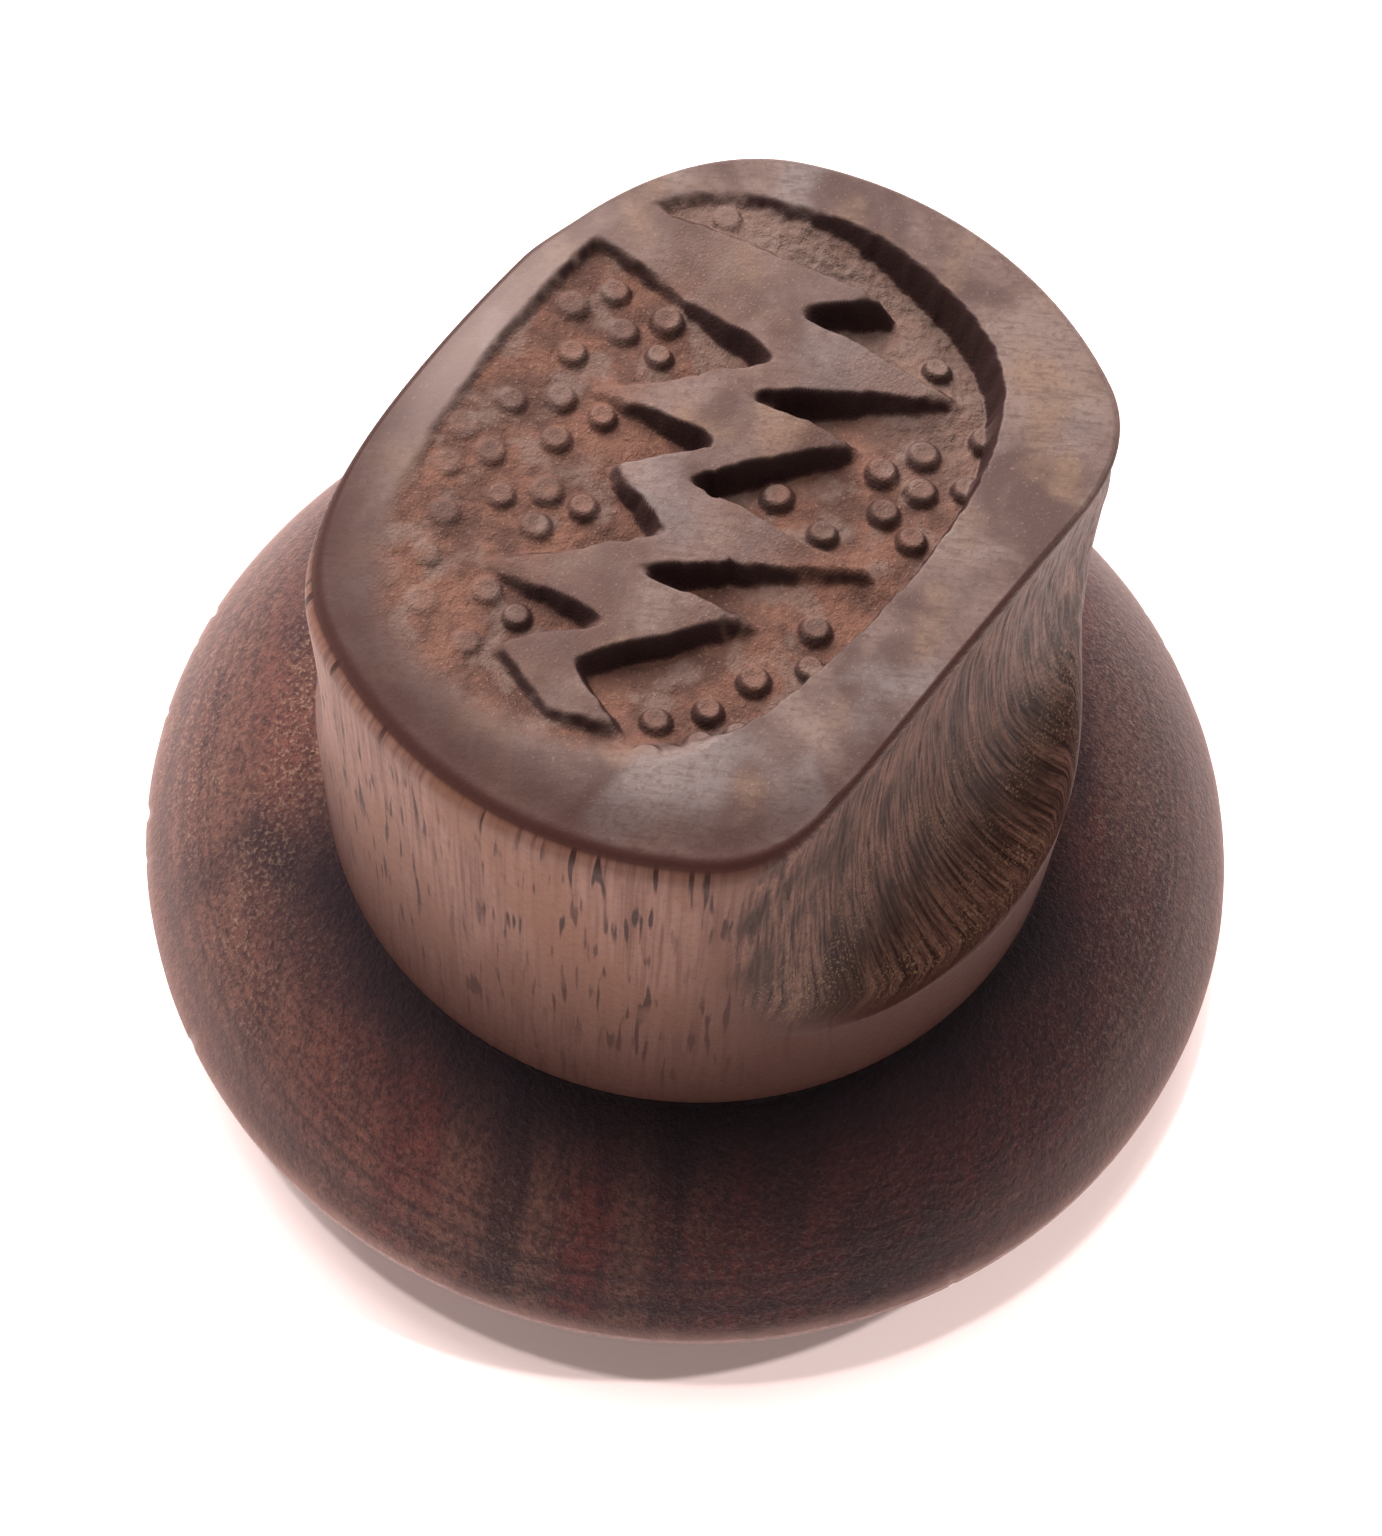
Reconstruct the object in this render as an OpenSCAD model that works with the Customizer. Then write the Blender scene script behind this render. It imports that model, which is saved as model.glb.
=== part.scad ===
// Wood edge slicker: a turned burnishing disc with a carved grip glued on a hidden dowel.
// Origin at the centre of the rest face, +Z up the turning axis, +X along the grip's long axis.
// Millimetres.

/* [Disc] */
// Diameter of the disc at its burnishing edge
disc_d = 50; // [44:1:64]
// Height of the flat seat that the grip stands on
disc_h = 13; // [11:0.5:18]
// Height of the burnishing edge above the rest face
edge_h = 7.3; // [6.5:0.1:8]
// Width of the flat land along the burnishing edge
edge_land = 0.5; // [0.3:0.1:0.8]
// Radius of the cove turned under the edge
cove_r = 4.3; // [3.8:0.1:4.6]
// Diameter of the flat rest face
foot_d = 42; // [38:0.5:43]

/* [Grip] */
// Diameter of the round ends of the grip
grip_d = 32.8; // [32:0.2:36]
// Height of the grip above the disc
grip_h = 22.3; // [20:0.1:26]
// Half width at the deepest point of the front finger scoop
front_waist = 10.9; // [10:0.1:12]
// Half width at the deepest point of the back finger scoop, at the crest of its bow
back_waist = 12.1; // [11.8:0.1:12.4]
// Height of the plain round lip left under the scoops
lip_h = 6; // [5:0.1:7]
// Radius of the hollow across a scoop
hollow_r = 25; // [22:1:30]
// Radius of the turn-out at the foot of a scoop
toe_r = 5; // [4:0.1:5.4]
// Rounding of the top edge at the round ends
top_round = 1; // [0.6:0.1:1.6]

/* [Carving] */
// Radius of the pocket's round ends
pocket_r = 13.2; // [12:0.1:13.6]
// Width of the pocket between its straight sides
pocket_w = 18.6; // [16:0.1:19]
// How far the pocket sits off the grip's centre line
pocket_shift = 1.4; // [1:0.1:1.7]
// Depth of the pocket at its middle
pocket_depth = 1.15; // [1:0.05:1.6]
// Diameter of a bead
bead_d = 1.35; // [0.9:0.05:1.8]
// Height of a bead above the pocket floor
bead_h = 0.6; // [0.3:0.05:0.8]
// Spacing of the bead rows
bead_pitch = 2.1; // [2:0.1:3.2]
// Spacing of the zigzag's barbs along the grip
barb_pitch = 4.5; // [4:0.1:4.8]

/* [Dowel] */
// Diameter of the hidden dowel
dowel_d = 10; // [8:0.5:12]
// Length of the hidden dowel
dowel_l = 24; // [20:1:26]
// Number of glue flutes along the dowel
flutes = 12; // [8:1:16]

/* [Hidden] */
$fn = 96;
tiny = 0.01;

disc_r = disc_d / 2;
grip_r = grip_d / 2;
foot_r = foot_d / 2;
top_z = disc_h + grip_h;

// The crown is one arc through the grip's foot and the burnishing edge.
crown_at = 12;
crown_z = (pow(disc_r - crown_at, 2) - pow(grip_r - crown_at, 2) + edge_h * edge_h
    - disc_h * disc_h) / (2 * (edge_h - disc_h));
crown_r = norm([disc_r - crown_at, edge_h - crown_z]);

// The cove is a round groove that starts at the land and runs out at the foot.
cove_out = 0.6; // how far the cove's centre lies outside the burnishing edge
cove_at = disc_r + cove_out;
cove_z = edge_h - edge_land - sqrt(cove_r * cove_r - cove_out * cove_out);
foot_round = 0.8;

// The hidden joint: the dowel is centred along a bore that is longer by end_gap at each end.
glue_gap = 0.05;
end_gap = 0.3;
bore_r = dowel_d / 2 + glue_gap;
disc_bore = 10.2;
grip_bore = dowel_l - disc_bore + 2 * end_gap;
dowel_z = disc_h - disc_bore + end_gap;
flute_r = 0.45;
dowel_bevel = 0.8;

// Height below the top face at which the scoops are deepest, and how far the arc at a scoop's foot
// bites into its hollow, so that the two arcs cross and don't just touch.
hollow_drop = 6.2;
toe_bite = 0.03;

// The back scoop bows outwards along the grip, with its crest a little off the middle.
bow_r = 58;
bow_x = 2.2;

// Slope of the pocket floor, along and across the grip.
floor_fall_x = 0.036;
floor_fall_y = 0.065;
pocket_y = pocket_shift;

module disc_profile() {
    difference() {
        intersection() {
            square([disc_r, disc_h]);
            union() {
                translate([crown_at, crown_z]) circle(r = crown_r);
                square([crown_at, disc_h]);
            }
        }
        translate([cove_at, cove_z]) circle(r = cove_r);
        // Everything outside the foot below the cove.
        translate([foot_r, -tiny]) square([disc_r, cove_z + tiny]);
        // Rounded edge of the rest face.
        difference() {
            translate([foot_r - foot_round, -tiny]) square([foot_round + 1, foot_round + tiny]);
            translate([foot_r - foot_round, foot_round]) circle(r = foot_round);
        }
    }
}

module slicker_disc() {
    color([0.27, 0.18, 0.16]) difference() {
        rotate_extrude() disc_profile();
        translate([0, 0, disc_h - disc_bore]) cylinder(r = bore_r, h = disc_bore + 1);
    }
}

// Outline of the round grip with its soft top edge, before the scoops are cut.
module grip_profile() {
    square([grip_r, grip_h - top_round]);
    square([grip_r - top_round, grip_h]);
    translate([grip_r - top_round, grip_h - top_round]) circle(r = top_round);
}

// Area that a finger scoop removes, drawn as distance from the axis against height.
module scoop_profile(waist) {
    hollow_at = waist + hollow_r;
    hollow_z = grip_h - hollow_drop;
    toe_z = lip_h + toe_r;
    toe_at = hollow_at - toe_bite - sqrt(pow(hollow_r - toe_r, 2) - pow(hollow_z - toe_z, 2));
    join_z = hollow_z + (toe_z - hollow_z) * hollow_r / (hollow_r - toe_r);
    intersection() {
        translate([hollow_at, hollow_z]) circle(r = hollow_r, $fn = 180);
        translate([0, join_z]) square(2 * grip_r);
    }
    translate([toe_at, toe_z]) circle(r = toe_r);
    translate([toe_at, lip_h]) square(2 * grip_r);
}

module front_scoop() {
    mirror([0, 1, 0]) rotate([90, 0, 90])
        linear_extrude(2 * grip_d, center = true) scoop_profile(front_waist);
}

module back_scoop() {
    translate([bow_x, -bow_r, 0]) rotate_extrude() translate([bow_r, 0]) scoop_profile(back_waist);
}

// Depth of the pocket floor below the top face.
function floor_depth(p) = pocket_depth + floor_fall_x * p[0] - floor_fall_y * (p[1] - pocket_y);

// Corner points of the zigzag band, as [along, across] from the grip's axis. The notches step
// along the spine, and long and short barbs take turns on both sides of it.
barbs = 5;
spine_start = [8.6, 2.6];
spine_drift = 0.7;
head = [11.7, -0.4];
tail = [-1, -3.6];
band = [-2.3, -0.8];
root_x = [6.6, 8.5];
root_y = 13;
function spine(k) = spine_start - k * [barb_pitch, spine_drift];
function right_tip(k) = spine(k) + [1.5, k % 2 == 0 ? -7.6 : -5];
function left_notch(k) = spine(k) + band;
function left_tip(k) = left_notch(k) + (k % 2 == 0 ? [-5.4, 4.9] : [-3.3, 3.1]);
zigzag = concat(
    [head],
    [for (k = [0:barbs - 2]) each [spine(k), right_tip(k)]],
    [spine(barbs - 1), spine(barbs - 1) + tail, left_notch(barbs - 1)],
    [for (k = [barbs - 2:-1:0]) each [left_tip(k), left_notch(k)]],
    [for (x = root_x) [x, root_y]]
);

// Distance from p to the edge from a to b.
function edge_gap(p, a, b) =
    let (t = max(0, min(1, (p - a) * (b - a) / ((b - a) * (b - a))))) norm(p - a - t * (b - a));
function crosses(p, a, b) =
    (a[1] > p[1]) != (b[1] > p[1]) && p[0] < a[0] + (b[0] - a[0]) * (p[1] - a[1]) / (b[1] - a[1]);
function wrap(i) = (i + 1) % len(zigzag);
function zigzag_gap(p) = min([for (i = [0:len(zigzag) - 1]) edge_gap(p, zigzag[i], zigzag[wrap(i)])]);
function in_zigzag(p) =
    len([for (i = [0:len(zigzag) - 1]) if (crosses(p, zigzag[i], zigzag[wrap(i)])) 1]) % 2 == 1;

// Beads stand on a staggered grid that wanders a little, wherever the pocket floor is open.
bead_clear = bead_d / 2 + 0.15;
bead_sink = 0.1; // least depth of a bead's top below the top face
row_pitch = bead_pitch * sin(60);
wander = 0.3;
function bead_at(i, j) = [
    i * row_pitch + wander * sin(137 * i + 71 * j),
    pocket_y + (j + (i % 2 == 0 ? 0 : 0.5)) * bead_pitch + wander * sin(59 * i + 193 * j)
];
function open_floor(p) =
    norm(p - [0, pocket_y]) < pocket_r - bead_clear
    && abs(p[1] - pocket_y) < pocket_w / 2 - bead_clear
    && !in_zigzag(p) && zigzag_gap(p) > bead_clear;
beads = [for (i = [-8:8], j = [-6:6]) let (p = bead_at(i, j)) if (open_floor(p)) p];

module bead(p) {
    bead_top = grip_h - max(floor_depth(p) - bead_h, bead_sink);
    translate([p[0], p[1], bead_top - 2]) cylinder(d = bead_d, h = 2, $fn = 24);
}

// Space cut out of the top face: the pocket less the zigzag and the beads.
module carving() {
    difference() {
        linear_extrude(grip_h + 1) intersection() {
            translate([0, pocket_y]) circle(r = pocket_r);
            translate([-grip_r, pocket_y - pocket_w / 2]) square([grip_d, pocket_w]);
        }
        // Ground under the sloping floor.
        translate([0, pocket_y, grip_h - pocket_depth])
            rotate([atan(floor_fall_y), atan(floor_fall_x), 0])
                translate([-grip_d, -grip_d, -2 * grip_h]) cube([2 * grip_d, 2 * grip_d, 2 * grip_h]);
        linear_extrude(grip_h) polygon(zigzag);
        for (p = beads) bead(p);
    }
}

module grip_handle() {
    color([0.5, 0.38, 0.31]) translate([0, 0, disc_h]) difference() {
        rotate_extrude() grip_profile();
        front_scoop();
        back_scoop();
        carving();
        translate([0, 0, -tiny]) cylinder(r = bore_r, h = grip_bore + tiny);
    }
}

module joining_dowel() {
    color([0.72, 0.57, 0.4]) translate([0, 0, dowel_z]) difference() {
        union() {
            cylinder(r1 = dowel_d / 2 - dowel_bevel, r2 = dowel_d / 2, h = dowel_bevel);
            translate([0, 0, dowel_bevel]) cylinder(d = dowel_d, h = dowel_l - 2 * dowel_bevel);
            translate([0, 0, dowel_l - dowel_bevel])
                cylinder(r1 = dowel_d / 2, r2 = dowel_d / 2 - dowel_bevel, h = dowel_bevel);
        }
        for (k = [0:flutes - 1]) rotate(k * 360 / flutes)
            translate([dowel_d / 2 + flute_r / 2, 0, -1]) cylinder(r = flute_r, h = dowel_l + 2, $fn = 24);
    }
}

slicker_disc();
grip_handle();
joining_dowel();
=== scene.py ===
import math

import bpy
import numpy as np
from mathutils import Matrix, Vector


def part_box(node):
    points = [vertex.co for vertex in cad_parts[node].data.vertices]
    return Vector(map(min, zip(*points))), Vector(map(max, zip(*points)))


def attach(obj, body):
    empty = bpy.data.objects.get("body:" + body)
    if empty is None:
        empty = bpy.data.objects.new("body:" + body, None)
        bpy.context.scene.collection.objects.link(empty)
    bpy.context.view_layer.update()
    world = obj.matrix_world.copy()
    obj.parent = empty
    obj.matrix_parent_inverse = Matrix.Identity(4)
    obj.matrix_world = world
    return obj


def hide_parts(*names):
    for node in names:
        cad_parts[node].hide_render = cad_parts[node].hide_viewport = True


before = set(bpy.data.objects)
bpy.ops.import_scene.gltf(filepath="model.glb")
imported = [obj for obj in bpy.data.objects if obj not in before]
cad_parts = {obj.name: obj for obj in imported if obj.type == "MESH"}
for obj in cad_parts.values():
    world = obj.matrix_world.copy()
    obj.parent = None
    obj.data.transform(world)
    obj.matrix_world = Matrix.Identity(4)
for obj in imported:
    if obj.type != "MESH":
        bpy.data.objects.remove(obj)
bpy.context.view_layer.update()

MM = 0.001
GLUE_GAP, END_GAP = 0.05, 0.3
disc_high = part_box("slicker_disc")[1]
grip_low, grip_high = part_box("grip_handle")
dowel_low, dowel_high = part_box("joining_dowel")
DISC_R = disc_high.x / MM
SEAT = grip_low.z / MM
TOP = grip_high.z / MM
GRIP_R = grip_high.x / MM
GRIP_H = TOP - SEAT
BORE_R = dowel_high.x / MM + GLUE_GAP
BORE_LOW = dowel_low.z / MM - END_GAP
BORE_HIGH = dowel_high.z / MM + END_GAP

# Direction the camera looks along the floor, and the direction to its right.
AWAY = np.array([0.843, 0.537])
RIGHT = np.array([0.537, -0.843])


# ---------------------------------------------------------------- numbers

def smoothstep(low, high, x):
    t = np.clip((x - low) / (high - low), 0, 1)
    return t * t * (3 - 2 * t)


def soft_max(a, b, width):
    """The larger of a and b, rounded over width where they meet."""
    h = np.clip(width - np.abs(a - b), 0, None) / width
    return np.maximum(a, b) + h * h * width / 4


def hash01(ix, iy, iz, seed):
    """A repeatable random number from 0 to 1 for each lattice point."""
    n = (ix * 73856093) ^ (iy * 19349663) ^ (iz * 83492791) ^ (seed * 2654435761 % 2**31)
    n = (n ^ (n >> 13)) * 1274126177 & 0x7FFFFFFF
    n = (n ^ (n >> 16)) & 0xFFFFFF
    return n / float(0xFFFFFF)


def noise(x, y, z, seed):
    """Smooth noise from -1 to 1 with one swing per unit."""
    x, y, z = np.broadcast_arrays(x, y, z)
    cell = [np.floor(v).astype(np.int64) for v in (x, y, z)]
    part = [v - c for v, c in zip((x, y, z), cell)]
    fade = [f * f * (3 - 2 * f) for f in part]
    total = 0.0
    for dx in (0, 1):
        for dy in (0, 1):
            for dz in (0, 1):
                weight = 1.0
                for f, d in zip(fade, (dx, dy, dz)):
                    weight = weight * (f if d else 1 - f)
                total = total + weight * hash01(cell[0] + dx, cell[1] + dy, cell[2] + dz, seed)
    return 2 * total - 1


# ---------------------------------------------------------------- carving in the top of the grip

# The zigzag: where its spine starts, how it steps, and each feature's offset along and across.
BARBS, BARB_PITCH, SPINE_DRIFT = 5, 4.5, 0.7
SPINE_X, SPINE_Y = 8.6, 2.6
SPINE_SLOPE, BAND_Y = 0.156, 2.2
BAND, HEAD, TAIL = (-2.3, -0.8), (11.7, -0.4), (-1.0, -3.6)
RIGHT_BARBS = ((1.5, -7.6), (1.5, -5.0))
LEFT_BARBS = ((-5.4, 4.9), (-3.3, 3.1))
ROOT = ((6.6, 13.0), (8.5, 13.0))
BEAD_D, BEAD_H, BEAD_PITCH, BEAD_WANDER, BEAD_GAP = 1.35, 0.6, 2.1, 0.3, 0.15
BEAD_ROWS, BEAD_COLUMNS = 8, 6
POCKET_R, POCKET_W, POCKET_Y, POCKET_DEPTH = 13.2, 18.6, 1.4, 1.15
FLOOR_FALL_X, FLOOR_FALL_Y = 0.036, 0.068


def zigzag_corners():
    """Corner points of the raised zigzag band; long and short barbs take turns on both its sides."""
    def spine(k):
        return np.array([SPINE_X - BARB_PITCH * k, SPINE_Y - SPINE_DRIFT * k])

    def notch(k):
        return spine(k) + BAND

    last = BARBS - 1
    points = [HEAD]
    for k in range(last):
        points += [spine(k), spine(k) + RIGHT_BARBS[k % 2]]
    points += [spine(last), spine(last) + TAIL, notch(last)]
    for k in range(last - 1, -1, -1):
        points += [notch(k) + LEFT_BARBS[k % 2], notch(k)]
    return np.array([*points, *ROOT])


def polygon_distance(x, y, corners):
    """Distance to a polygon's outline, negative inside it."""
    best = np.full(x.shape, 1e9)
    inside = np.zeros(x.shape, bool)
    for a, b in zip(corners, np.roll(corners, -1, axis=0)):
        d = b - a
        t = np.clip(((x - a[0]) * d[0] + (y - a[1]) * d[1]) / (d @ d), 0, 1)
        best = np.minimum(best, np.hypot(x - a[0] - t * d[0], y - a[1] - t * d[1]))
        if d[1] != 0:
            inside ^= ((a[1] > y) != (b[1] > y)) & (x < a[0] + d[0] * (y - a[1]) / d[1])
    return np.where(inside, -best, best)


def bead_centres():
    """Beads stand on a staggered grid that wanders a little, wherever the pocket floor is open."""
    clear, row = BEAD_D / 2 + BEAD_GAP, BEAD_PITCH * math.sin(math.radians(60))
    rows, columns = np.arange(-BEAD_ROWS, BEAD_ROWS + 1), np.arange(-BEAD_COLUMNS, BEAD_COLUMNS + 1)
    i, j = [v.ravel() for v in np.meshgrid(rows, columns, indexing="ij")]
    x = i * row + BEAD_WANDER * np.sin(np.radians(137 * i + 71 * j))
    y = POCKET_Y + (j + 0.5 * (i % 2)) * BEAD_PITCH + BEAD_WANDER * np.sin(np.radians(59 * i + 193 * j))
    inside_ends = np.hypot(x, y - POCKET_Y) < POCKET_R - clear
    free = inside_ends & (np.abs(y - POCKET_Y) < POCKET_W / 2 - clear)
    free &= polygon_distance(x, y, zigzag_corners()) > clear
    return np.column_stack([x, y])[free]


END_R, CORNER_R = 11.75, 2.4
NEAR_END, FAR_END = (-1.7, 2.2), (1.8, 1.5)
BACK_SIDE, BACK_BOW, BACK_CREST = 11.15, 0.0095, 5.0
FRONT_SIDE, FRONT_BOW, FRONT_CREST = 8.05, 0.0125, 1.1


def pocket_distance(x, y):
    """Distance to the pocket's outline, negative inside: two round ends and two gently bowed sides."""
    turn = smoothstep(-4, 4, x)
    end_x = NEAR_END[0] + (FAR_END[0] - NEAR_END[0]) * turn
    end_y = NEAR_END[1] + (FAR_END[1] - NEAR_END[1]) * turn
    ends = np.hypot(x - end_x, y - end_y) - END_R
    back = y - (BACK_SIDE - BACK_BOW * (x - BACK_CREST) ** 2)
    front = -y - (FRONT_SIDE - FRONT_BOW * (x - FRONT_CREST) ** 2)
    return soft_max(soft_max(ends, back, CORNER_R), front, CORNER_R)


def floor_depth(x, y, gap):
    """Depth of the dished pocket floor; it runs out into the border on the left and at the near end."""
    tilt = POCKET_DEPTH + FLOOR_FALL_X * x - FLOOR_FALL_Y * (y - POCKET_Y)
    left = smoothstep(1, 8, y) * (0.30 + 0.64 * smoothstep(-3, -10, x)) * (1 - 0.6 * smoothstep(7, 11, x))
    near = smoothstep(-8.0, -12.5, x)
    run_out = 2.6
    rise = np.exp(-(gap / run_out) ** 2) * np.clip(left + 0.75 * near, 0, 0.97)
    swell = 0.10 * noise(x / 3.1, y / 3.1, 0, 2)
    shallow = 1 - 0.68 * smoothstep(4, 10, x) * smoothstep(-1, 6, y)
    return np.clip((tilt * shallow + swell) * (1 - rise), 0, None)


def blur(field, reach):
    """The field averaged over a small square, twice, which rounds the corners of what it outlines."""
    size = 2 * reach + 1
    for _ in range(2):
        for axis in (0, 1):
            margins = [(reach + 1, reach) if a == axis else (0, 0) for a in (0, 1)]
            total = np.cumsum(np.pad(field, margins, mode="edge"), axis=axis)
            ends = np.take(total, np.arange(size, total.shape[axis]), axis=axis)
            field = (ends - np.take(total, np.arange(total.shape[axis] - size), axis=axis)) / size
    return field


CORNER_BLUR = 0.009  # reach of the rounding of the band's corners, as a share of the grid
GOUGE_W = 0.9        # how far from the band's edge the floor is gouged deeper
BEAD_CAP = 0.55      # most that a bead or a sunken barb takes up of the floor's depth


def carve(x, y):
    """Depth below the top face, and the shares of open floor and of bead at each point."""
    gap = pocket_distance(x, y)
    wobble = 0.09 * noise(x / 1.1, y / 1.1, 0, 3) + 0.05 * noise(x / 0.4, y / 0.4, 0, 4)
    near = smoothstep(-7.0, -11.0, x)
    pocket = smoothstep(0.14 + 0.3 * near, -0.40 - 0.9 * near, gap + wobble)
    zig = blur(polygon_distance(x, y, ZIGZAG), round(len(x) * CORNER_BLUR)) + wobble
    raised = smoothstep(0.30, -0.20, zig)
    # How far out along its barbs the band is: there it sinks towards the floor.
    reach = np.abs(y - BAND_Y + SPINE_SLOPE * (SPINE_X - x))
    tip = smoothstep(1.2, 6.2, reach) * smoothstep(9.0, 6.0, y)
    depth = floor_depth(x, y, gap)
    gouge = np.exp(-((zig / GOUGE_W) ** 2)) * (0.30 * (1 - tip) - 0.25 * tip)
    depth = depth + gouge * np.minimum(depth, 1)
    beads, dome = np.zeros(x.shape), np.zeros(x.shape)
    for k, (bx, by) in enumerate(BEADS):
        size = BEAD_D / 2 * (0.88 + 0.24 * hash01(k, 5, 2, 1))
        r = np.hypot(x - bx, y - by) / size
        lift = 0.75 + 0.25 * hash01(k, 1, 7, 1)
        dimple = 0.12 * np.exp(-((r / 0.4) ** 2))
        beads = np.maximum(beads, lift * smoothstep(1.12, 0.56, r) * (1 - dimple))
        dome = np.maximum(dome, smoothstep(1.02, 0.7, r))
    lifted = depth - beads * np.minimum(BEAD_H, BEAD_CAP * depth)
    rough = 0.035 * noise(x / 0.55, y / 0.55, 0, 7) + 0.025 * noise(x / 0.22, y / 0.22, 0, 8)
    rough = rough * (1 + 1.5 * smoothstep(6, 12, x - 0.3 * y)) * (1 - dome) + 0.06
    level = 0.05 + 0.02 * noise(x / 1.5, y / 1.5, 0, 9) + tip * BEAD_CAP * depth
    inner = (lifted + rough) * (1 - raised) + level * raised
    shown = np.clip(raised * (0.8 - 0.7 * tip), 0, 1)
    return np.clip(pocket * inner, 0, None), pocket * (1 - shown), pocket * dome


ZIGZAG = zigzag_corners()
BEADS = bead_centres()


# ---------------------------------------------------------------- outer shape of the grip

LIP, TOE_R, HOLLOW_R, HOLLOW_Z = 6.0, 5.0, 25.0, GRIP_H - 6.2
FRONT_WAIST, BACK_WAIST = 10.9, 12.1
BACK_SCOOP_BOW, BACK_SCOOP_CREST = 0.0085, 2.2
LEAST_R = 5.5  # the search for the wall starts here, just outside the bore


def scoop_width(height, waist):
    """Half width left by a finger scoop at a height: a wide hollow that turns out at the lip."""
    centre = waist + HOLLOW_R
    toe_z = LIP + TOE_R
    toe = centre - math.sqrt((HOLLOW_R - TOE_R) ** 2 - (HOLLOW_Z - toe_z) ** 2)
    join = HOLLOW_Z + (toe_z - HOLLOW_Z) * HOLLOW_R / (HOLLOW_R - TOE_R)
    hollow = centre - np.sqrt(np.clip(HOLLOW_R**2 - (height - HOLLOW_Z) ** 2, 0, None))
    turn = toe - np.sqrt(np.clip(TOE_R**2 - (toe_z - height) ** 2, 0, None))
    return np.where(height > join, hollow, np.where(height > LIP, turn, toe + 3 * (LIP - height)))


def wall(theta, height):
    """Radius of the grip's wall and how much of it is scoop, by angle and height above the disc."""
    low, high = np.full(theta.shape, LEAST_R), np.full(theta.shape, GRIP_R + 0.5)
    front, back = scoop_width(height, FRONT_WAIST), scoop_width(height, BACK_WAIST)
    c = np.cos(theta)
    # Width of the soft shoulder between a scoop and the round ends.
    edge = 0.5 + 1.6 * smoothstep(0.2, -0.6, c)
    edge = edge + 2.2 * smoothstep(0, 0.5, np.sin(theta)) * smoothstep(-0.2, 0.4, c)
    edge = edge + 2.0 * smoothstep(GRIP_H - 5, GRIP_H - 0.5, height) * smoothstep(0.2, 0.5, c)
    for _ in range(26):
        r = (low + high) / 2
        x, y = r * np.cos(theta), r * np.sin(theta)
        scoop = np.maximum(-y - front, y - back + BACK_SCOOP_BOW * (x - BACK_SCOOP_CREST) ** 2)
        outside = soft_max(r - GRIP_R, scoop, edge) > 0
        low, high = np.where(outside, low, r), np.where(outside, r, high)
    ragged = 0.22 * noise(theta * 9, height / 1.1, 0, 41)
    share = smoothstep(-0.9, 0.5, scoop - (r - GRIP_R) + ragged)
    return r, share


def roll(theta):
    """Radius of the rolled top edge: widest at the near end."""
    return 0.45 + 0.55 * smoothstep(-0.45, -0.85, np.cos(theta))


def rim_burnish_shade_share(theta, turn):
    """How dark and red the rolled edge is, by how far it has turned over: full half way, then gone; darker
    burnish with painted shade.
    """
    c = np.cos(theta)
    start = 0.15 + 0.50 * smoothstep(-0.2, -0.8, c)
    full = (start + (0.97 - start) * smoothstep(0, 0.35, turn)) * (1 - 0.7 * smoothstep(0.2, 0.7, c))
    return full * (1 - 0.85 * smoothstep(0.55, 0.78, turn))


def even_heights(step):
    """Heights down the wall, spaced evenly along the front scoop's section."""
    z = np.linspace(GRIP_H, 0, 4000)
    y = np.minimum(scoop_width(z, FRONT_WAIST), GRIP_R)
    run = np.concatenate([[0], np.cumsum(np.hypot(np.diff(z), np.diff(y)))])
    return np.interp(np.arange(0, run[-1], step) / run[-1], run / run[-1], z)


def scoop_marks(theta, r, z):
    """Tool marks and torn fibre running down the scoops."""
    x = r * np.cos(theta)
    slant = x + 0.10 * z + 0.5 * noise(x / 4, 0, z / 6, 21)
    ridges = 0.045 * noise(slant / 0.45, 0, z / 3, 22) + 0.045 * noise(slant / 0.26, 0, z / 1.2, 23)
    return ridges + 0.10 * noise(x / 2.5, 0, z / 4, 24) - 0.10


# ---------------------------------------------------------------- mesh building

def even_disc(n):
    """An n by n grid spread evenly over the unit disc: radius and angle of each point."""
    a = np.linspace(-1, 1, n)
    gx, gy = np.meshgrid(a, a, indexing="ij")
    radius = np.maximum(np.abs(gx), np.abs(gy))
    safe_x, safe_y = np.where(gx == 0, 1e-9, gx), np.where(gy == 0, 1e-9, gy)
    angle = np.where(
        np.abs(gx) >= np.abs(gy),
        gy / safe_x * math.pi / 4 + np.where(gx < 0, math.pi, 0),
        math.pi / 2 - gx / safe_y * math.pi / 4 + np.where(gy < 0, math.pi, 0),
    )
    return radius, angle


def rim_loop(n):
    """Indices of an n by n grid's border, anticlockwise from above."""
    side = np.arange(n)
    right, back = (n - 1) * n + side, side[::-1][1:] * n + n - 1
    left, front = side[::-1][1:], side[1:-1] * n
    return np.concatenate([right, back, left, front])


def ring_quads(first, second):
    """Quads between two rings of vertex indices, facing out when the second ring is lower."""
    return np.column_stack([first, second, np.roll(second, -1), np.roll(first, -1)])


def make_mesh(name, points, quads, caps=(), shares=None):
    """A smooth-shaded object from millimetre points; shares are numbers per point for its material."""
    mesh = bpy.data.meshes.new(name)
    mesh.from_pydata((points * MM).tolist(), [], quads.tolist() + [list(map(int, c)) for c in caps])
    mesh.polygons.foreach_set("use_smooth", np.ones(len(mesh.polygons), bool))
    for key, values in (shares or {}).items():
        layer = mesh.attributes.new(key, "FLOAT", "POINT")
        layer.data.foreach_set("value", np.asarray(values, np.float32))
    mesh.update()
    piece = bpy.data.objects.new(name, mesh)
    bpy.context.scene.collection.objects.link(piece)
    return piece


EDGE_SAG, SAG_W = 0.10, 2.8
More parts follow.
